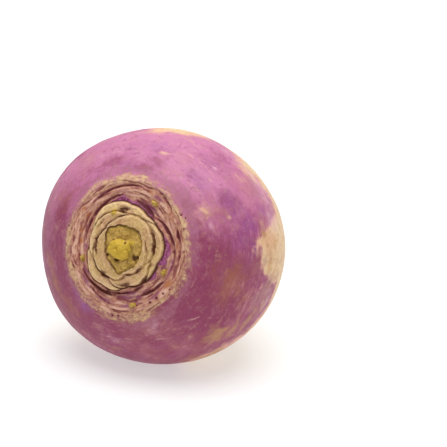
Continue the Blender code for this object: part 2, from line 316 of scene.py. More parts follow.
# Patches: direction (degrees), arc from the crown's middle, half length round the axis, half
# width along the meridian (mm), strength
SKIN_PATCHES = {
    "wine_and_shade": (
        (116, 33, 7, 3, 0.55), (91, 30, 7, 2.2, 0.55), (80, 33.5, 5, 2.5, 0.45),
        (35, 41, 5, 4, 0.6), (21, 45, 5, 4, 0.25), (6, 47, 6, 3.5, 0.3), (-28, 38, 3.5, 3, 0.9),
        (-28.5, 42.5, 4.5, 3, 0.95), (-23, 44.5, 3.5, 2.5, 0.8), (-155, 28.6, 4, 2.2, 0.9),
        (-175, 28.6, 6, 2.4, 0.9), (168, 30, 5, 2.6, 0.6), (-30, 31, 10, 3.5, 0.6),
        (-46, 28, 8, 3.2, 0.85), (45, 28.6, 6, 3, 0.35), (14, 27.8, 6, 3, 0.3),
        (15, 33, 8, 5, 0.25), (34, 30.5, 7, 4, 0.35), (55, 45, 16, 10, 0.26), (36, 37, 9, 6, 0.28),
        (-126, 38, 14, 7, 0.4), (-70, 33, 12, 3.5, 0.45), (-140, 44, 8, 5, 0.5),
        (145, 48, 9, 4, 0.5), (178, 50, 10, 4, 0.45),
    ),
    "violet": (
        (15, 41, 9, 6, 0.5), (33, 41, 9, 6, 0.6), (58, 45, 14, 7, 0.35), (-2, 36, 6, 4, 0.35),
        (8, 46, 5, 3, 0.75), (20, 45, 4, 3, 0.6), (52, 37, 8, 3.5, 0.45), (86, 42, 8, 4, 0.5),
        (-122, 27.5, 5, 2.6, 0.75), (-133, 26.6, 3, 2, 0.6), (100, 31, 6, 2, 0.4),
        (26, 53, 3, 3.5, 0.7),
    ),
    "grey": (
        (2.5, 51, 3, 3, 0.75), (-9, 56, 5.5, 4.5, 0.8), (-15, 53, 5, 3, 0.6), (34, 55, 7, 4, 0.55),
        (44, 57, 7, 3.5, 0.5), (23, 51, 4, 2.5, 0.5), (-112, 31, 7, 3, 0.35),
        (150, 40, 10, 5, 0.35),
    ),
    "brown": (
        (-9, 40, 8, 5.5, 0.85), (-14, 47.5, 5, 3.5, 0.5), (-20, 41, 3.5, 3, 0.6),
        (-3, 33, 4, 3, 0.45), (-26, 50, 7, 4, 0.45), (31, 35.5, 3.5, 4, 0.4),
        (-160, 36, 5, 3.2, 0.8), (-147, 35, 6, 2.6, 0.85), (-132, 34.5, 5, 2.6, 0.7),
        (156, 32, 7, 6, 0.5), (146, 28.5, 4, 2.5, 0.4), (-98, 43, 5, 2.2, 0.55),
        (-58, 53.5, 6, 2.6, 0.85), (-66, 43, 9, 2.5, 0.35), (-45, 46, 6, 2.6, 0.35),
        (15, 50.6, 2, 1.2, 0.7), (10, 52.4, 1.6, 1.5, 0.6), (6, 54, 1.8, 1.2, 0.55),
        (-7.7, 57.1, 1.2, 1.2, 0.9), (-6, 62.6, 1, 1.6, 0.8), (13, 51.5, 4, 2.6, 0.35),
        (4, 63, 3.2, 1.4, 0.6),
    ),
    "olive": (
        (-38, 47.5, 3.4, 5, 0.85), (-33, 52.5, 5, 2, 0.7), (-25, 56, 6, 2.2, 0.75),
        (-17, 59, 5, 2.2, 0.55), (16, 50.2, 2.6, 1.6, 0.5), (-97, 41.5, 3.5, 1.3, 0.5),
    ),
    "pale": (
        (-61, 29.6, 2.6, 1.5, 0.65), (-63, 32.5, 2.2, 1.8, 0.4), (-92, 36.5, 9, 1.6, 0.35),
        (40, 59.5, 12, 3, 0.6), (22, 57.5, 5, 4, 0.6), (60, 60, 9, 2.6, 0.5), (112, 39, 8, 2, 0.35),
        (126, 38, 7, 2, 0.3), (97, 35.2, 1, 0.5, 0.7), (54.5, 44.7, 0.8, 0.6, 0.9),
        (52.5, 31.5, 0.7, 0.7, 0.6), (61, 32.5, 1, 0.5, 0.5), (23.4, 32, 2.2, 0.8, 0.8),
        # The patch at -13 degrees and 60.5 mm is a painted sheen along the lower rim.
        (-13, 60.5, 6, 3.5, 0.5), (127, 27.2, 3, 0.8, 0.5), (-86, 31, 3, 0.9, 0.3),
    ),
    "peach": (
        (81, 38.8, 1.6, 0.9, 0.75), (100, 49.5, 8, 2, 0.5), (34, 31.8, 1, 1.7, 0.9),
        (29.5, 31.8, 0.8, 1.2, 0.6), (26.2, 38.6, 0.9, 0.7, 0.75), (34, 32.5, 4, 4, 0.45),
        (125, 54, 15, 4, 0.4), (150, 55, 14, 4.5, 0.5), (172, 51, 10, 4, 0.4),
        (12, 52.5, 6, 3.4, 0.8), (8, 49.8, 3, 1.4, 0.4),
    ),
}
# The same on the collar, by radius instead of arc. The film is where the cork is thin and dusky.
COLLAR_PATCHES = {
    "violet": (
        (105, 19.8, 5, 0.9, 0.45), (104, 18, 5, 0.8, 0.5), (-14, 18.4, 5, 1.1, 0.75),
        (15, 19.6, 5, 0.8, 0.3), (-46, 19.8, 5, 1.2, 0.7), (-78, 20, 5, 1.2, 0.75),
        (-106, 20, 5, 1, 0.7), (-135, 19.6, 5, 0.8, 0.7), (-16, 16, 3, 1, 0.75),
        (-76, 15.9, 4, 0.9, 0.8), (66, 17, 5, 0.8, 0.7), (40, 16.6, 4, 0.6, 0.5),
        (-46, 22.2, 5, 1, 0.3), (-173, 15.8, 3, 1.3, 0.65), (-146, 17.7, 3.2, 0.7, 0.8),
        (-100, 19, 5, 0.5, 0.5), (-82, 17.2, 4.2, 0.9, 0.8), (-66, 17.8, 1.6, 1.2, 0.8),
        (-70, 19.3, 0.9, 1.1, 0.7), (-54, 16, 3, 1.1, 0.5), (-62, 21.6, 1, 1.4, 0.4),
        (64, 21.1, 2.2, 0.9, 0.7), (58, 23.2, 2.4, 0.6, 0.7), (120, 20, 3, 0.6, 0.4),
        (34, 18.4, 3, 1, 0.4), (8, 17.4, 4, 0.6, 0.4), (160, 20.4, 3, 0.7, 0.3),
    ),
    "brown": (
        (-179, 18.5, 1.7, 1, 0.95), (168, 18.6, 2.2, 0.8, 0.75), (152, 18.7, 1.5, 0.8, 0.8),
        (151, 21.2, 1.4, 0.8, 0.7), (-30, 20.2, 3, 1.3, 0.75), (-38, 19.6, 1.6, 1.2, 0.5),
        (76, 21.8, 0.8, 1.1, 0.65), (44, 21.4, 0.8, 2, 0.6), (38, 20.4, 1, 2, 0.5),
        (12, 19.3, 3.4, 0.7, 0.6), (-152, 15.1, 1.4, 0.9, 0.9), (-136, 21.6, 2, 0.8, 0.4),
        (-76, 24.4, 6, 1.2, 0.35),
    ),
    "pale": (
        (136, 20.9, 5, 1, 0.75), (106, 22.7, 5, 0.9, 0.85), (106, 20.7, 4, 0.5, 0.6),
        (72, 20.2, 3.4, 0.7, 0.6), (70, 24, 4, 0.7, 0.4), (48, 16.6, 3, 0.8, 0.45),
        (-165, 22, 4, 1, 0.6),
    ),
    "film": (
        (-45, 24.6, 5.5, 1.2, 0.85), (44, 24.8, 5, 1, 0.5), (72, 24.6, 4, 0.8, 0.5),
    ),
}
# The same between the cut bases: brown stains
BASE_STAINS = (
    (99, 13.2, 3.2, 0.9, 1), (-178, 10.8, 5, 0.8, 0.9), (8, 11, 3.2, 0.8, 0.9),
    (-119, 11.9, 2.6, 1.2, 0.9), (-82, 12.8, 3.4, 0.7, 0.9), (-21, 14.6, 1.8, 1, 0.9),
    (-44, 9.7, 2.4, 0.8, 0.8), (58, 8.2, 1.8, 0.6, 0.8), (146, 12.4, 3, 0.6, 0.7),
    (38, 12.6, 2.6, 0.6, 0.6), (-62, 14.2, 2.4, 0.7, 0.8), (-150, 12.4, 2.6, 0.6, 0.6),
)
# Scratches: from, to (degrees), arc from the crown's middle at start, middle and end, half width
# (mm), strength
SCRATCHES = (
    (11, 39, 46.4, 48, 48.9, 0.32, 0.4), (-41, -33, 35, 36.1, 37.2, 0.34, 0.7),
    (-43, -37, 35, 34.9, 35.6, 0.35, 0.5), (-69, -57, 36.4, 35.9, 37.6, 0.36, 0.65),
    (-58, -51, 35, 34.6, 35.2, 0.3, 0.35), (-90, -79.5, 35.1, 34.7, 34.4, 0.38, 0.6),
    (-103, -95.5, 37, 36, 35.6, 0.5, 0.6), (-76, -66, 41, 41.3, 40.6, 0.32, 0.35),
    (-52, -44, 42, 42.6, 42, 0.3, 0.35), (70, 84, 40.6, 41, 40.4, 0.3, 0.3),
    (104, 121, 37.4, 37, 38, 0.36, 0.35), (90, 101, 33.4, 33.6, 33, 0.34, 0.4),
)
# Violet between the cut bases and the first furrow: direction (degrees), how far it reaches out
# of the bases' edge (mm), half width (degrees)
VIOLET_REACHES = (
    (102, 1.8, 16), (84, 1.8, 12), (66, 2.4, 13), (5, 2.6, 18), (-9, 2.8, 6), (-33, 1.7, 9),
)
# Pits in the collar and among the heart's stubs: direction (degrees), radius, half width (mm),
# depth as a share
COLLAR_PITS = (
    (-54.5, 20.8, 0.55, 1), (-46.5, 20.7, 0.65, 1), (-38.5, 21, 0.5, 1), (-31, 21.8, 0.3, 1),
    (-94.9, 24.2, 0.45, 1), (-88.9, 23.9, 0.45, 1), (38, 23.8, 0.45, 1), (34, 24.5, 0.3, 1),
    (26, 23, 0.35, 1), (6, 22, 0.35, 1), (171, 24.2, 0.35, 1),
)
HEART_PITS = (
    (148, 4.3, 0.4, 0.35), (52, 2.6, 0.5, 0.65), (-108, 4.5, 0.8, 0.8), (-98, 4.4, 0.6, 0.65),
    (-30, 5.7, 0.9, 0.85), (-22, 6.4, 0.7, 0.75), (-150, 6.6, 0.65, 0.8), (-60, 5.6, 0.4, 0.4),
    (-120, 5.4, 0.35, 0.4),
)


def patches(places, angle, along, radius, wander):
    """The strongest of some soft, uneven patches at each point."""
    most = np.zeros_like(angle)
    for direction, middle, half_length, half_width, strength in places:
        loose = min(half_width, 2.5) * 0.55
        u = radius * turned(angle - radians(direction)) + 1.4 * loose * wander[0]
        v = along - middle + loose * wander[1]
        patch = np.exp(-((u / half_length) ** 2) - (v / half_width) ** 2)
        most = np.maximum(most, strength * patch)
    return most


def pits(places, x, y, uneven=1):
    """How deep some small pits are at each point."""
    deepest = np.zeros_like(x)
    for direction, radius, size, depth in places:
        angle = radians(direction)
        away = np.hypot(x - radius * cos(angle), y - radius * sin(angle))
        deepest = np.maximum(deepest, depth * bell(away * uneven, size))
    return deepest


# ---- materials ----


def tone(red, green, blue):
    """A linear colour from everyday 0-255 values."""
    shares = [v / 255 for v in (red, green, blue)]
    linear = [s / 12.92 if s <= 0.04045 else ((s + 0.055) / 1.055) ** 2.4 for s in shares]
    return (*linear, 1)


class Look:
    """A material under construction, with short calls for the nodes that it is made of.

    Colours are sockets, or tuples of everyday 0-255 values.
    """

    def __init__(self, name):
        self.material = bpy.data.materials.new(name)
        self.material.use_nodes = True
        self.tree = self.material.node_tree
        self.object = self.node("ShaderNodeTexCoord", "Object", {})

    def feed(self, sockets, values):
        for name, value in values.items():
            if isinstance(value, bpy.types.NodeSocket):
                self.tree.links.new(value, sockets[name])
            else:
                sockets[name].default_value = value

    def node(self, kind, output, inputs, **settings):
        """One output of a new node."""
        made = self.tree.nodes.new(kind)
        for name, value in settings.items():
            setattr(made, name, value)
        self.feed(made.inputs, inputs)
        return made.outputs[output]

    def painted(self, name, output):
        return self.node("ShaderNodeAttribute", output, {}, attribute_name=name)

    def mask(self, name, *grains):
        """A mask painted on the mesh, roughened as rough() does."""
        return self.rough(self.painted(name, "Fac"), *grains)

    def rough(self, value, *grains):
        """A value with grain added, given as pairs of a noise and how much of it."""
        for grain, amount in zip(grains[::2], grains[1::2]):
            centred = self.math("SUBTRACT", grain, 0.5)
            value = self.math("MULTIPLY_ADD", centred, amount, value)
        return value

    def noise(self, scale, detail, roughness=0.55, distortion=0, where=None):
        where = self.object if where is None else where
        inputs = {"Vector": where, "Scale": scale, "Detail": detail, "Roughness": roughness}
        inputs["Distortion"] = distortion
        return self.node("ShaderNodeTexNoise", "Fac", inputs)

    def math(self, operation, *values):
        return self.node("ShaderNodeMath", 0, dict(enumerate(values)), operation=operation)

    def between(self, value, low, high, start, end):
        """A smooth change from start to end as value goes from low to high."""
        inputs = {"Value": value, "From Min": low, "From Max": high, "To Min": start, "To Max": end}
        return self.node("ShaderNodeMapRange", "Result", inputs, interpolation_type="SMOOTHSTEP")

    def blend(self, share, *colours):
        first, second = (tone(*c) if isinstance(c, tuple) else c for c in colours)
        inputs = {"Factor": share, 6: first, 7: second}
        return self.node("ShaderNodeMix", 2, inputs, data_type="RGBA")

    def layers(self, colour, *coats):
        """A colour with coats over it: a value, where in it the coat starts and where it is
        full, its share there, and its colour."""
        for value, start, full, share, coat in coats:
            colour = self.blend(self.between(value, start, full, 0, share), colour, coat)
        return colour

    def bump(self, height, distance, strength=1, **under):
        inputs = {"Height": height, "Distance": distance * MM, "Strength": strength, **under}
        return self.node("ShaderNodeBump", "Normal", inputs)

    def finish(self, colour, roughness, normal, specular=0.5):
        inputs = {"Base Color": colour, "Roughness": roughness, "Normal": normal}
        return self.shade({**inputs, "Specular IOR Level": specular})

    def shade(self, inputs):
        self.feed(self.tree.nodes["Principled BSDF"].inputs, inputs)
        return self.material


def skin_look():
    look = Look("turnip_skin")
    flow = look.painted("flow", "Vector")
    streaks = look.noise(1, 4, 0.6, where=flow)
    fine_streaks = look.noise(2.6, 4, 0.7, where=flow)
    clouds = look.noise(60, 5, 0.62, 0.5)
    grain = look.noise(420, 3, 0.65)
    fine_grain = look.noise(1000, 4, 0.7)
    mottle = look.noise(260, 4, 0.7, 0.5)
    purple = purple_skin(look, clouds, streaks, fine_streaks, grain)
    cream = cream_skin(look, flow, streaks, fine_streaks, grain)

    edge = look.mask("purple", streaks, 0.9, clouds, 0.9, look.noise(210, 4, 0.7, 0.6), 0.8)
    blush = look.layers((230, 178, 146), (clouds, 0.35, 0.65, 1, (218, 156, 156)))
    colour = look.layers(
        cream,
        (edge, 0.1, 0.5, 0.9, blush),
        (edge, 0.34, 0.9, 1, purple),
    )
    for mask, strength, shade in (
        ("grey", 0.75, (172, 124, 124)),
        ("peach", 0.85, (232, 186, 146)),
        ("brown", 0.82, (160, 94, 70)),
        ("olive", 0.72, (190, 148, 92)),
        # The pale mask includes a painted sheen along the lower rim.
        ("pale", 0.7, (226, 176, 190)),
    ):
        share = look.mask(mask, mottle, 1.1, streaks, 0.6)
        colour = look.layers(colour, (share, 0.05, 1.05, strength, shade))
    scratch = look.mask("scratch", grain, 0.5)
    colour = look.layers(colour, (scratch, 0.2, 0.9, 0.8, (232, 186, 176)))

    ring_grain = look.noise(1, 5, 0.7, 0.3, look.painted("ring", "Vector"))
    colour = collar_colour(look, colour, ring_grain, grain, fine_grain)
    bark = look.layers((150, 106, 68), (streaks, 0.4, 0.62, 1, (206, 168, 122)))
    share = look.mask("bark", streaks, 0.9, grain, 0.6)
    colour = look.layers(colour, (share, 0.2, 0.9, 0.85, bark))
    colour = look.blend(look.mask("cut"), colour, (226, 202, 160))

    roughness = look.rough(look.between(look.mask("cork"), 0.1, 0.7, 0.5, 0.75), grain, 0.2)
    normal = look.bump(look.math("MULTIPLY", look.mask("cork"), fine_grain), 0.18)
    normal = look.bump(look.rough(grain, fine_streaks, 0.8), 0.12, 0.7, Normal=normal)
    return look.finish(colour, roughness, normal, 0.28)


def purple_skin(look, clouds, streaks, fine_streaks, grain):
    """Pinkish lilac to wine, violet and dusty here and there, finely streaked round the axis."""
    # The wine mask holds wine patches and a painted shade that deepens towards the ground.
    depth = look.mask("wine_and_shade", clouds, 1, streaks, 0.8, grain, 0.4)
    violet = look.mask("violet", look.noise(90, 4), 0.9)
    dusty = look.noise(38, 4, 0.6)
    flecks = look.rough(look.noise(190, 5, 0.72, 0.7), streaks, 0.5)
    return look.layers(
        (202, 124, 164),
        (depth, 0, 1, 1, (142, 58, 90)),
        (violet, 0.1, 1, 0.75, (150, 78, 150)),
        (dusty, 0.5, 0.72, 0.45, (182, 118, 116)),
        (flecks, 0.52, 0.76, 0.42, (200, 136, 142)),
        (flecks, 0.47, 0.28, 0.5, (134, 54, 96)),
        (fine_streaks, 0.54, 0.78, 0.24, (208, 144, 164)),
        (fine_streaks, 0.45, 0.28, 0.36, (126, 54, 90)),
        (grain, 0.46, 0.28, 0.4, (134, 60, 92)),
    )


def cream_skin(look, flow, streaks, fine_streaks, grain):
    """Cream, with clusters of tan and brown blotches, thin lines and a few dark specks."""
    clusters = look.noise(26, 2)
    mottle = look.rough(look.noise(330, 5, 0.7, 0.4), clusters, 0.5)
    blotches = look.rough(look.noise(170, 5, 0.65, 0.6), clusters, 1.3)
    dark = look.rough(look.noise(240, 4, 0.7, 0.8), clusters, 1.5)
    cream = look.layers(
        look.blend(look.noise(70, 4, 0.6), (222, 184, 136), (234, 208, 170)),
        (streaks, 0.46, 0.7, 0.55, (236, 186, 150)),
        (mottle, 0.48, 0.64, 0.65, (206, 156, 106)),
        (blotches, 0.48, 0.68, 0.75, (202, 150, 98)),
        (dark, 0.6, 0.76, 0.65, (160, 104, 64)),
        (look.noise(1.7, 3, 0.7, 0.4, flow), 0.6, 0.68, 0.45, (176, 130, 84)),
    )
    spots = look.node("ShaderNodeTexVoronoi", "Distance", {"Vector": look.object, "Scale": 230})
    pores = look.math("MULTIPLY", look.between(spots, 0.1, 0.2, 0.6, 0), clusters)
    return look.layers(
        look.blend(pores, cream, (140, 92, 52)),
        (fine_streaks, 0.56, 0.72, 0.35, (242, 222, 190)),
        (grain, 0.46, 0.3, 0.35, (196, 156, 104)),
    )


def collar_colour(look, skin, ring_grain, grain, fine_grain):
    """Dusky halo, pinkish tan ridges with violet and brown on them, cork and furrows."""
    flaky = look.noise(640, 5, 0.75)
    ridge = look.layers(
        (160, 92, 84),
        (ring_grain, 0.32, 0.66, 1, (214, 166, 132)),
        (flaky, 0.52, 0.34, 0.5, (130, 70, 76)),
    )
    band = look.layers(
        (112, 36, 78),
        (ring_grain, 0.4, 0.58, 1, (166, 84, 136)),
        (flaky, 0.54, 0.72, 0.6, (198, 150, 130)),
    )
    cork = look.layers(
        (166, 118, 98),
        (look.mask("cork", flaky, 2.2), 0.35, 1.15, 1, (218, 182, 136)),
        (ring_grain, 0.52, 0.7, 0.6, (214, 176, 132)),
        (ring_grain, 0.47, 0.3, 0.6, (156, 104, 98)),
        (fine_grain, 0.47, 0.33, 0.65, (128, 78, 74)),
    )
    furrow = look.mask("furrow", fine_grain, 0.5, ring_grain, 0.9)
    # A painted shadow along the foot of the cut bases, with the furrows on the shaded side in its
    # brown.
    foot_shadow = look.mask("foot_shadow", fine_grain, 0.5, ring_grain, 0.8)
    return look.layers(
        skin,
        (look.mask("halo", flaky, 1.6, ring_grain, 0.9), 0.35, 1.35, 0.7, (166, 104, 124)),
        (look.mask("ridges", grain, 0.4), 0.3, 0.7, 1, ridge),
        # Pale patches, and painted highlights on the ridges between the creases.
        (look.mask("pale_and_highlight", flaky, 0.6), 0.2, 0.8, 0.8, (224, 178, 156)),
        (look.mask("collar_violet", ring_grain, 1.2), 0.2, 0.75, 0.85, (132, 60, 98)),
        (look.mask("band", ring_grain, 1.3, flaky, 0.6), 0.08, 0.68, 0.95, band),
        (look.mask("collar_brown", flaky, 0.8), 0.2, 0.8, 0.85, (176, 106, 60)),
        (look.mask("cork", flaky, 1.5, ring_grain, 1.8), 0.1, 1.05, 0.92, cork),
        (furrow, 0.08, 0.62, 0.55, (146, 62, 78)),
        (furrow, 0.3, 0.9, 0.92, (92, 22, 34)),
        (foot_shadow, 0.25, 0.8, 0.92, (82, 26, 8)),
    )


def bases_look():
    look = Look("cut_leaf_base")
    ring = look.painted("ring", "Vector")
    fibres = look.noise(1, 4, 0.65, where=ring)
    layers = look.noise(2.3, 3, 0.6, where=ring)
    grain = look.noise(900, 4, 0.7)
    clouds = look.noise(300, 4, 0.65)
    hues = look.noise(150, 3, 0.6)
    hue = look.layers((206, 172, 92), (hues, 0.38, 0.62, 1, (216, 164, 138)))
    bud = look.layers((160, 120, 44), (grain, 0.35, 0.6, 1, (212, 178, 76)))
    colour = look.blend(look.mask("outer"), (204, 166, 114), (250, 218, 166))
    colour = look.layers(
        look.blend(look.between(clouds, 0.3, 0.6, 0.2, 0.5), colour, hue),
        (fibres, 0.48, 0.68, 0.7, (242, 208, 156)),
        (clouds, 0.5, 0.72, 0.6, (172, 124, 66)),
        (layers, 0.46, 0.34, 0.65, (142, 94, 58)),
        (grain, 0.48, 0.34, 0.36, (150, 106, 62)),
        # A painted highlight along each sheath's rim.
        (look.mask("rim", clouds, 1.4), 0.3, 1, 0.5, (238, 206, 158)),
        (look.mask("bud"), 0.3, 0.7, 1, bud),
        (look.mask("stain", grain, 0.8, clouds, 1.4), 0.25, 0.9, 0.92, (82, 30, 4)),
        (look.mask("seam", grain, 0.8, clouds, 1.6), 0.25, 1.05, 0.9, (88, 36, 6)),
        (look.mask("wall"), 0.2, 0.8, 0.75, (112, 54, 22)),
    )
    normal = look.bump(grain, 0.14, Normal=look.bump(layers, 0.25))
    return look.finish(colour, look.between(grain, 0.2, 0.8, 0.55, 0.75), normal, 0.25)


def heart_look():
    look = Look("heart_green")
    grain = look.noise(800, 4, 0.7)
    clouds = look.noise(330, 4, 0.65)
    rings = look.noise(1, 3, 0.6, where=look.painted("ring", "Vector"))
    colour = look.layers(
        (158, 124, 50),
        (clouds, 0.35, 0.66, 1, (202, 164, 86)),
        (grain, 0.5, 0.32, 0.7, (126, 92, 32)),
        (rings, 0.47, 0.36, 0.6, (138, 102, 34)),
        (rings, 0.53, 0.66, 0.5, (214, 180, 100)),
        (look.mask("knob", clouds, 1.1), 0.25, 0.85, 0.95, (200, 166, 54)),
        (look.mask("crease", clouds, 0.8), 0.3, 0.95, 0.75, (118, 88, 28)),
        (look.mask("pit", grain, 0.5), 0.2, 0.8, 0.92, (72, 34, 2)),
    )
    normal = look.bump(grain, 0.16, Normal=look.bump(clouds, 0.3))
    return look.finish(colour, look.between(grain, 0.2, 0.8, 0.5, 0.72), normal, 0.25)


def bud_look():
    look = Look("side_bud_green")
    grain = look.noise(900, 3, 0.6)
    colour = look.layers((150, 116, 40), (grain, 0.3, 0.7, 1, (206, 172, 76)))
    return look.finish(colour, look.between(grain, 0.2, 0.8, 0.45, 0.7), look.bump(grain, 0.15))


def rootlet_look():
    look = Look("rootlet")
    grain = look.noise(700, 3, 0.6)
    colour = look.layers((172, 126, 78), (grain, 0.35, 0.65, 1, (226, 196, 150)))
    return look.finish(colour, look.between(grain, 0.3, 0.7, 0.6, 0.8), look.bump(grain, 0.08))


def floor_look():
    glow = {"Emission Color": WHITE, "Emission Strength": FLOOR_GLOW}
    return Look("floor").shade({"Base Color": FLOOR_GREY, "Roughness": 0.8, **glow})


# ---- meshes ----


MIDDLE = Vector((0, AXIS_BACK, AXIS_HEIGHT)) * MM
AXIS_FRAME = Matrix.Translation(MIDDLE) @ Matrix.Rotation(radians(90) - AXIS_TILT, 4, "X")


def turned_shell(points, steps):
    """Points and faces of a turned surface whose first and last rows are single points."""
    pairs = [(a, (a + 1) % steps) for a in range(steps)]
    last = len(points) - steps - 1
    faces = [(0, a + 1, b + 1) for a, b in pairs]
    for top in range(1, last, steps):
        low = top + steps
        faces += [(top + a, low + a, low + b, top + b) for a, b in pairs]
    return points, faces + [(last + a, last + steps, last + b) for a, b in pairs]


def spread(values, steps):
    """One value a row, given to each point of a turned surface."""
    return np.concatenate([values[:1], np.repeat(values[1:-1], steps), values[-1:]])


def turned_grid(rows, steps):
    """Radius, height and angle of each point of a turned surface, rows from the crown's middle."""
    radius, height = np.array(rows, float).T
    around = np.tile(np.arange(steps) * 2 * pi / steps, len(rows) - 2)
    return spread(radius, steps), spread(height, steps), np.concatenate([[0], around, [0]])


def in_scene(name, data):
    made = bpy.data.objects.new(name, data)
    bpy.context.scene.collection.objects.link(made)
    return made


def make_piece(name, shell, look, node=None):
    """A smooth piece from points and faces in the axis frame, riding on the only body."""
    points, faces = shell
    mesh = bpy.data.meshes.new(name)
    mesh.from_pydata((points * MM).tolist(), [], faces)
    mesh.transform(AXIS_FRAME)
    mesh.shade_smooth()
    mesh.materials.append(look)
    piece = in_scene(name, mesh)
    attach(piece, "root")
    if node:
        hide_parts(node)
    return piece


def joined(shells):
    """One piece's points and faces from those of several."""
    points = np.concatenate([placed for placed, _ in shells])
    faces = []
    first = 0
    for placed, corners in shells:
        faces += [tuple(corner + first for corner in face) for face in corners]
        first += len(placed)
    return points, faces


def paint(piece, masks):
    """Keeps masks on the piece's points, for its material to read."""
    for name, values in masks.items():
        layer = piece.data.attributes.new(name, "FLOAT", "POINT")
        layer.data.foreach_set("value", np.clip(values, 0, 1).astype(np.float32))


def paint_vector(piece, name, places):
    layer = piece.data.attributes.new(name, "FLOAT_VECTOR", "POINT")
    layer.data.foreach_set("vector", np.stack(places, axis=1).astype(np.float32).ravel())


def root_rows():
    rim = CLUSTER_RADIUS + BASES_GAP
    rows = [(0, SOCKET_FLOOR), (7.5, SOCKET_FLOOR), (rim - 1.3, SOCKET_FLOOR)]
    rows += [(rim - 0.15, SOCKET_FLOOR + 0.7), (rim - 0.1, float(dome(rim)) - 2.2)]
    crown = np.arange(rim, 28.4, 0.17)
    shoulder = RADIUS * np.cos(np.linspace(acos(crown[-1] / RADIUS), 0, 62)[1:])
    rows += [(r, float(dome(r))) for r in (*crown, *shoulder)]
    globe = BASE_DEPTH * np.sin(np.linspace(0, radians(76), 42)[1:])
    flare = BASE_DEPTH + np.array([-0.9, -0.4, 0, 0.7, 1.5, 2.8, 4.1])
    tail = BASE_DEPTH + TAIL_LENGTH * np.linspace(0.32, 0.95, 9)
    rows += [(float(widened_tail(depth)), -depth) for depth in (*globe, *flare, *tail)]
    tail_end = BASE_DEPTH + TAIL_LENGTH
    rows += [(0.8 * TAIL_RADIUS, -tail_end), (0, -tail_end - 0.5)]
    return rows


def bent(angle, radius, height):
    """Coordinates round the axis, which bends towards the end of the tap root."""
    share = np.clip((-height - BASE_DEPTH + 6) / (TAIL_LENGTH + 6), 0, 1) ** 2
    x, y = TAIL_BEND
    return radius * np.cos(angle) + x * share, radius * np.sin(angle) + y * share, height


def place_root(radius, height, angle):
    inner = np.clip(radius / CLUSTER_RADIUS, 0, 1)
    outer = 1 - smooth((radius - CLUSTER_RADIUS) / 7)
    above = height > 0
    pushed = radius + np.where(above, (cluster_edge(angle) - CLUSTER_RADIUS) * inner * outer, 0)
    body = smooth((radius - 12) / 26)
    pushed = pushed * (1 + (outline_factor(angle) - 1) * body) + swell(angle, height) * body
    on_crown = above & (radius > CLUSTER_RADIUS + BASES_GAP - 0.01)
    lift = np.where(on_crown, crown_relief(angle, pushed), 0)
    return pushed, on_crown, np.stack(bent(angle, pushed, height + lift), axis=1)


def rest_on_ground(points):
    """Presses what would be under the ground plane up to it, as the CAD model's flat spot is."""
    depth = -AXIS_HEIGHT - points @ UPWARD
    return points + np.outer(np.maximum(depth, 0), UPWARD)


def outward(rows, angle, steps):
    """Unit vectors out of a turned surface."""
    radius, height = np.gradient(np.array(rows, float), axis=0).T
    length = np.hypot(radius, height)
    away, along = spread(-height / length, steps), spread(radius / length, steps)
    return np.stack(round_axis(angle, away, along), axis=1)


class Skin:
    """The root's surface without its small relief, and unevenness of several sizes on it."""

    def __init__(self):
        self.rows = root_rows()
        radius, self.height, self.angle = turned_grid(self.rows, ROOT_STEPS)
        self.pushed, self.on_crown, self.points = place_root(radius, self.height, self.angle)
        steps = np.hypot(*np.diff(np.array(self.rows), axis=0).T)
        arcs = np.concatenate([[0], np.cumsum(steps)])
        self.arc = spread(arcs - arcs[RIM_ROW] + RIM_ARC, ROOT_STEPS)
        self.rugged = self.noise(2.6, 3, 3)
        self.gravel = self.noise(0.7, 5, 2)
        self.slow = self.noise(9, 7, 2)
        self.drift = self.noise(16, 53, 2)
        self.wander = (self.noise(3.4, 11, 3), self.noise(3.1, 17, 3))

    def noise(self, size, seed, octaves):
        x, y, z = self.points.T
        return noise(x / size, y / size, z / size, seed, octaves)

    def patches(self, places, along):
        return patches(places, self.angle, along, self.pushed, self.wander)


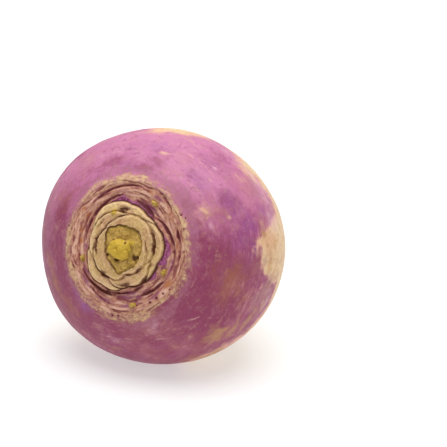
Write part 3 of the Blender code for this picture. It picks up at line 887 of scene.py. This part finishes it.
def collar_masks(skin):
    """The collar's masks, and how deep its creases and pits are (mm)."""
    angle, pushed, on_crown = skin.angle, skin.pushed, skin.on_crown
    rugged, slow = skin.rugged, skin.slow
    stains = {name: skin.patches(rows, pushed) * on_crown for name, rows in COLLAR_PATCHES.items()}
    outer = cork_outer(angle)
    beyond = pushed - cluster_edge(angle)
    ragged = pushed + 0.7 * rugged + 0.5 * slow

    cork = smooth((ragged - CORK_INNER + 1.2) / 2.4) * smooth((outer - ragged + 0.9) / 2.2)
    cork = np.where(on_crown, cork * (0.85 + 0.25 * slow) * (1 - stains["film"]), 0)
    ridges = np.where(on_crown, smooth((CORK_INNER + 1.6 - ragged) / 1.4), 0)
    halo_edge = outer + 2 + 1.8 * slow + 1.2 * rugged + 1.2 * side(angle, HALO_SIDE)
    halo = smooth((ragged - outer + 1.2) / 1.2) * smooth((halo_edge - pushed) / 2.6 + 0.5)
    reach = np.maximum.reduce([bulges([place], angle) for place in VIOLET_REACHES])
    band = smooth((reach - beyond + 0.3 * rugged) / 1.3 + 0.25) * (ridges > 0)

    weave = noise(*round_axis(angle, 5, pushed / 0.6 + 0.8 * slow), 41, 2)
    woven = smooth((outer - 0.5 - pushed) / 2.5) * smooth(beyond - 1) * on_crown
    creases = smooth((weave - 0.22) / 0.35) * woven
    # Pale strips between the creases: painted highlights on the ridges.
    highlight_strips = smooth((-weave - 0.25) / 0.35) * woven
    dents = pits(COLLAR_PITS, *skin.points.T[:2]) * on_crown
    furrows = painted_furrows(angle, pushed, rugged) * on_crown
    # A painted shadow on the skin along the foot of the cut bases, faint on the open side.
    foot_shadow = bell(beyond - 0.3, 0.42 + 0.2 * slow) * (0.65 + 0.45 * rugged)
    foot_shadow = foot_shadow * (1 - 0.7 * side(angle, OPEN_SIDE)) * on_crown
    masks = {
        "cork": cork,
        "ridges": ridges,
        "halo": halo * on_crown,
        "band": band,
        "furrow": np.maximum.reduce([1.25 * furrows, 0.6 * creases, dents]),
        "foot_shadow": np.maximum(foot_shadow, 1.25 * furrows * side(angle, SHADED_SIDE)),
        "pale_and_highlight": np.maximum(highlight_strips, stains["pale"]),
        "collar_violet": stains["violet"],
        "collar_brown": stains["brown"],
    }
    return masks, PIT_DEPTH * dents + 0.22 * creases


def painted_furrows(angle, pushed, rugged):
    """The furrows' dark lines, a little longer and thinner than they are, and broken."""
    lines = [
        (start - 5, end + 5, *radii, 0.9 * width, 1.1 * deep)
        for start, end, *radii, width, deep in FURROWS
    ]
    broken = np.clip(0.97 + 0.65 * rugged, 0.2, 1.3)
    fading = 1 - 0.25 * smooth((pushed - 20) / 1.5)
    return arc_lines(lines, angle, pushed + 0.36 * rugged) * broken * fading


def ground_masks(skin):
    """The purple and its shades, patches, scratches, the bark of the tap root and its cut end."""
    angle, arc = skin.angle, skin.arc
    masks = {name: skin.patches(rows, arc) for name, rows in SKIN_PATCHES.items()}
    # Painted shade: the skin turns deeper wine towards the ground, where the underside is shaded.
    masks["wine_and_shade"] += 0.1 + 0.72 * smooth((34 - skin.points @ UPWARD) / 32)
    window = side(angle, WINDOW_SIDE)
    shifts = 2 * skin.slow + 6 * (1 - window) * skin.drift + 1.8 * skin.wander[0]
    softness = 16 - 9 * window
    end = PURPLE_END + bulges(PURPLE_SHIFTS, angle) + shifts
    masks["purple"] = smooth((end - arc) / softness + 0.5)
    masks["scratch"] = arc_lines(SCRATCHES, angle, arc)
    masks["bark"] = smooth((arc - 110) / 11)
    masks["cut"] = smooth((-BASE_DEPTH - TAIL_LENGTH + 0.15 - skin.height) / 0.1)
    return masks


def skin_relief(skin, masks, dents):
    """The skin's small relief (mm): flakes, bumps, creases, scratches and the tap root's rings."""
    arc, rugged, gravel = skin.arc, skin.rugged, skin.gravel
    collar = smooth((cork_outer(skin.angle) + 2 - skin.pushed) / 2) * skin.on_crown
    rings = noise(*round_axis(skin.angle, 2, arc / 1.3), 47, 2)
    relief = masks["cork"] * (0.05 * gravel + 0.12 * rugged)
    relief += masks["ridges"] * (0.05 * gravel + 0.09 * rugged) - dents
    relief += (1 - collar) * (0.1 * skin.slow + 0.03 * rugged) - 0.06 * masks["scratch"]
    relief += 0.16 * rings * smooth((arc - 96) / 14)
    return relief * smooth((arc - RIM_ARC + 0.2) / 1.5)


def make_root():
    skin = Skin()
    masks, dents = collar_masks(skin)
    masks.update(ground_masks(skin))
    relief = skin_relief(skin, masks, dents)
    points = skin.points + outward(skin.rows, skin.angle, ROOT_STEPS) * relief[:, None]
    shell = turned_shell(rest_on_ground(points), ROOT_STEPS)
    piece = make_piece("skin", shell, skin_look(), "turnip_root")
    paint(piece, masks)
    paint_vector(piece, "flow", round_axis(skin.angle, 5, skin.arc / 1.3))
    paint_vector(piece, "ring", round_axis(skin.angle, 12, skin.pushed / 0.7))


def uneven_heart_edge(angle):
    """The heart's rim with its small unevenness, which the bases round it share."""
    fine = 0.1 * np.sin(16 * angle + 2.1) + 0.06 * np.sin(29 * angle)
    return heart_edge(angle) + 0.14 * np.sin(7 * angle + 0.6) + fine


def bases_rows():
    rows = [(0, HEART_FLOOR), (HEART_RADIUS - 0.4, HEART_FLOOR)]
    rows.append((HEART_RADIUS, HEART_FLOOR + 0.5))
    rows += [(r, BASES_TOP) for r in np.linspace(HEART_RADIUS + 0.02, CLUSTER_RADIUS, 90)]
    floor = SOCKET_FLOOR + GAP
    return rows + [(CLUSTER_RADIUS, floor + 0.9), (CLUSTER_RADIUS - 0.6, floor), (0, floor)]


def sheath_marks(angle, ragged, seam_width, seam_depth):
    """The sheaths' seams, a painted highlight on their rims, and each sheath's number as a share.
    """
    seam, rim, order = np.zeros((3, angle.size))
    edges = sheath_edges(angle)
    last = len(CUT_BASES) - 1
    for number, (inner, outer) in enumerate(zip(edges[:-1], edges[1:])):
        present = smooth(np.maximum(outer - inner, 0.01) / 0.9)
        off = ragged - outer - (0.35 if number == last else 0)
        seam = np.maximum(seam, bell(off, seam_width) * present * seam_depth)
        rim = np.maximum(rim, bell(ragged - outer + 0.75, 0.35) * present)
        within = smooth((ragged - inner) / 0.3) * smooth((outer - ragged) / 0.3)
        order = np.maximum(order, within * number / last)
    return seam, rim, order


def make_bases():
    rows = bases_rows()
    radius, height, angle = turned_grid(rows, BASES_STEPS)
    inner_edge = uneven_heart_edge(angle)
    outer_edge = cluster_edge(angle)
    share = (radius - HEART_RADIUS) / (CLUSTER_RADIUS - HEART_RADIUS)
    across = inner_edge + (outer_edge - inner_edge) * np.clip(share, 0, 1)
    pushed = np.where(radius < HEART_RADIUS, radius * inner_edge / HEART_RADIUS, across)
    x, y = pushed * np.cos(angle), pushed * np.sin(angle)

    rugged = noise(x / 1.3, y / 1.3, height, 23, 3)
    slow = noise(x / 4, y / 4, height, 29, 2)
    torn = noise(x / 2.2, y / 2.2, 0, 67, 4)
    inside = smooth((outer_edge - pushed) / 1.2) * smooth((pushed - inner_edge) / 0.5)
    ragged = pushed + inside * (0.16 * torn + 0.08 * rugged)
    seam_width = np.maximum(0.34 + 0.26 * slow, 0.12)
    seam_depth = np.clip(0.8 + 0.55 * noise(x / 5, y / 5, height, 61, 2), 0.15, 1.25)
    seam, rim, order = sheath_marks(angle, ragged, seam_width, seam_depth)
    merged = 1 - 0.7 * side(angle, MERGED_SIDE)
    seam = np.maximum(seam, bell(pushed - inner_edge, 0.25) * seam_depth * merged)
    bud = bud_angle(-1)
    bud_away = np.hypot(x - INNER_BUD_RADIUS * cos(bud), y - INNER_BUD_RADIUS * sin(bud))
    stain = patches(BASE_STAINS, angle, pushed, pushed, (torn, rugged))
    stain *= smooth((outer_edge - pushed) / 0.6)
    wall = smooth((pushed - outer_edge + 0.35) / 0.3) * (share > 0.5)

    lifted = terrace_height(angle, ragged) + 0.16 * rugged + 0.1 * slow - 0.4 * stain
    points = np.stack([x, y, np.where(height > BASES_TOP - 1, lifted, height)], axis=1)
    shell = turned_shell(points, BASES_STEPS)
    piece = make_piece("cut_leaf_bases", shell, bases_look(), "leaf_bases")
    paint(piece, {
        "seam": seam * (bud_away > 1.3),
        "stain": stain * (bud_away > 1.1),
        # rim is a painted highlight just inside each sheath's outer edge.
        "rim": rim,
        "bud": bell(bud_away, 1.35),
        "wall": wall * (1 - 0.7 * side(angle, OPEN_SIDE)),
        "outer": smooth((share - 0.55) / 0.35) * (0.65 - 0.35 * np.cos(angle - DARKER_SIDE)),
    })
    paint_vector(piece, "ring", round_axis(angle, 9, pushed / 0.45 + 5 * order))


def stub_heights(x, y):
    """The tallest leaf stub of the heart at each point, and the next one (mm)."""
    tallest, second = np.zeros((2, x.size))
    for stub_x, stub_y, size, tall in heart_stubs():
        away = np.hypot(x - stub_x, y - stub_y)
        lump = tall * np.sqrt(np.clip(1 - (away / size) ** 2, 0, 1))
        second = np.maximum(second, np.minimum(tallest, lump))
        tallest = np.maximum(tallest, lump)
    return tallest, second


def make_heart():
    edge = HEART_RADIUS - GAP
    floor = HEART_FLOOR + GAP
    rows = [(r, HEART_TOP) for r in np.linspace(0, edge, 70)]
    rows += [(edge, floor + 0.8), (edge - 0.5, floor), (0, floor)]
    radius, height, angle = turned_grid(rows, HEART_STEPS)
    rim = uneven_heart_edge(angle) - HEART_GAP
    pushed = radius * rim / edge
    x, y = pushed * np.cos(angle), pushed * np.sin(angle)

    rugged = noise(x / 1.1, y / 1.1, height, 31, 3)
    face = HEART_TOP - 0.5 * (pushed / rim) ** 2 - 0.5 * smooth((pushed - rim + 1.1) / 1.1)
    knob_x, knob_y, half_length, half_width, knob_height = KNOB
    across = ((x - knob_x) / half_length) ** 2 + ((y - knob_y) / half_width) ** 2
    knob = knob_height * np.sqrt(np.clip(1 - across, 0, 1))
    on_knob = smooth((1.3 - across) / 0.5)
    stubs, next_stubs = stub_heights(x, y)
    crease = bell(stubs - next_stubs, 0.12) * (across < 1.3)
    pit = pits(HEART_PITS, x, y, 1 + 0.5 * rugged)
    shoot = bell(np.hypot((x - SHOOT[0]) / 1.2, y - SHOOT[1]), SHOOT[2])
    seam = (1 - 0.7 * side(angle, MERGED_SIDE)) * bell(pushed - rim, 0.3)

    lifted = face + knob + stubs + (0.14 + 0.2 * on_knob) * rugged + 0.6 * shoot - 0.9 * pit
    points = np.stack([x, y, np.where(height > HEART_TOP - 1, lifted, height)], axis=1)
    shell = turned_shell(points, HEART_STEPS)
    piece = make_piece("heart", shell, heart_look(), "heart_bud")
    paint(piece, {
        "knob": np.maximum(smooth((1.35 - across) / 0.7) * (1 - 0.12 * rugged), 0.75 * shoot),
        "crease": np.maximum(0.65 * crease * (0.8 + 0.5 * rugged), 0.7 * seam),
        "pit": pit * 1.4,
    })
    turn = np.arctan2(y - knob_y, x - knob_x)
    from_knob = np.hypot(x - knob_x, y - knob_y)
    paint_vector(piece, "ring", round_axis(turn, 3, from_knob / 0.42))


def make_side_buds():
    """The small buds in the angles of old leaves, each a pointed, scaly bump."""
    around = np.arange(BUD_STEPS) * 2 * pi / BUD_STEPS
    buds = []
    for number in range(SIDE_BUDS):
        angle = bud_angle(number)
        radius = FIRST_BUD_RADIUS + BUD_SPACING * number
        base = float(dome(radius) + crown_relief(angle, radius)) - 0.6
        points = [(0, 0, BUD_HEIGHT)]
        for share in np.linspace(0.15, 1, BUD_ROWS):
            ripple = 1 + 0.1 * np.sin(4 * around + 5 * share)
            out = SIDE_BUD_RADIUS * sin(0.5 * pi * share) * ripple
            tall = BUD_HEIGHT * cos(0.5 * pi * share) + 0.12 * np.cos(3 * around + 2)
            points += list(zip(0.85 * out * np.cos(around), 1.3 * out * np.sin(around), tall))
        points.append((0, 0, -0.5))
        placed = np.array(points) + (radius, 0, base)
        turn = np.array(Matrix.Rotation(angle, 3, "Z"))
        buds.append(turned_shell(placed @ turn.T, BUD_STEPS))
    make_piece("side_buds", joined(buds), bud_look())


def make_rootlets():
    """Fine side roots, thin and bent, from the tail and from where it leaves the globe."""
    draw = np.random.default_rng(7)
    rootlets = []
    for _ in range(ROOTLETS):
        depth = BASE_DEPTH + draw.uniform(-1.5, TAIL_LENGTH - 4.5)
        side_on = draw.choice([radians(80), radians(260)]) + draw.normal(0, 0.5)
        radius = float(widened_tail(depth)) - 0.3
        start = np.array(bent(side_on, radius, -depth))
        heading = np.array(round_axis(side_on, 1, draw.uniform(-0.6, -0.1)))
        sway = draw.normal(0, 0.35, 3)
        length = draw.uniform(2.5, 6.5)
        thick = draw.uniform(0.14, 0.34)
        share = np.linspace(0, 1, ROOTLET_POINTS)
        line = start + np.outer(share * length, heading) + np.outer(share**2 * length, sway)
        rootlets.append(tube(line, thick * (1.05 - 0.8 * share)))
    make_piece("rootlets", joined(rootlets), rootlet_look())


def tube(line, radii):
    """A closed, tapering tube along a line of points."""
    ahead = np.gradient(line, axis=0)
    ahead /= np.linalg.norm(ahead, axis=1)[:, None]
    across = np.cross(ahead, [0.3, 0.2, 1])
    across /= np.linalg.norm(across, axis=1)[:, None]
    beside = np.cross(ahead, across)
    points = [line[0]]
    for place, radius, u, v in zip(line, radii, across, beside):
        for step in range(ROOTLET_SIDES):
            turn = step * 2 * pi / ROOTLET_SIDES
            points.append(place + radius * (cos(turn) * u + sin(turn) * v))
    points.append(line[-1])
    return turned_shell(np.array(points), ROOTLET_SIDES)


# ---- studio ----

CAMERA_AZIMUTH = radians(26.5)
CAMERA_ELEVATION = radians(22)
CAMERA_DISTANCE = 0.7
CAMERA_LENS = 158
AIM_RIGHT = 22 * MM  # how far the camera aims beside and above the turnip's middle
AIM_UP = 8.2 * MM

WHITE = (1, 1, 1, 1)
FLOOR_REACH = 4
FLOOR_CORNERS = ((-1, -1), (1, -1), (1, 1), (-1, 1))
FLOOR_GREY = (0.56, 0.56, 0.56, 1)
FLOOR_GLOW = 0.47
WORLD_STRENGTH = 0.44
KEY_PLACE = Vector((0.02, 0.08, 1.4))
KEY_TARGET = Vector((0, 0, 0.04))
KEY_SIZE = 1.7
KEY_POWER = 23


def facing(name, data, place, heading):
    """A camera or light at a place, pointed along a heading."""
    made = in_scene(name, data)
    made.location = place
    made.rotation_mode = "QUATERNION"
    made.rotation_quaternion = heading.to_track_quat("-Z", "Y")
    return made


def make_camera():
    azimuth, elevation = CAMERA_AZIMUTH, CAMERA_ELEVATION
    level = cos(elevation)
    back = Vector((sin(azimuth) * level, -cos(azimuth) * level, sin(elevation)))
    right = Vector((cos(azimuth), sin(azimuth), 0))
    up = back.cross(right)
    data = bpy.data.cameras.new("camera")
    data.sensor_width = 36
    data.lens = CAMERA_LENS
    data.clip_start = 0.01
    place = MIDDLE + AIM_RIGHT * right + AIM_UP * up + CAMERA_DISTANCE * back
    bpy.context.scene.camera = facing("camera", data, place, -back)


def make_key_light():
    data = bpy.data.lights.new("key", "AREA")
    data.shape = "DISK"
    data.size = KEY_SIZE
    data.energy = KEY_POWER
    facing("key", data, KEY_PLACE, KEY_TARGET - KEY_PLACE)


def make_studio():
    mesh = bpy.data.meshes.new("floor")
    corners = [(x * FLOOR_REACH, y * FLOOR_REACH, 0) for x, y in FLOOR_CORNERS]
    mesh.from_pydata(corners, [], [(0, 1, 2, 3)])
    mesh.materials.append(floor_look())
    floor = in_scene("floor", mesh)
    world = bpy.data.worlds.new("studio")
    world.use_nodes = True
    background = world.node_tree.nodes["Background"]
    background.inputs["Color"].default_value = WHITE
    background.inputs["Strength"].default_value = WORLD_STRENGTH
    bpy.context.scene.world = world
    make_key_light()
    bpy.context.scene.view_settings.view_transform = "Standard"


make_root()
make_bases()
make_heart()
make_side_buds()
make_rootlets()
make_camera()
make_studio()
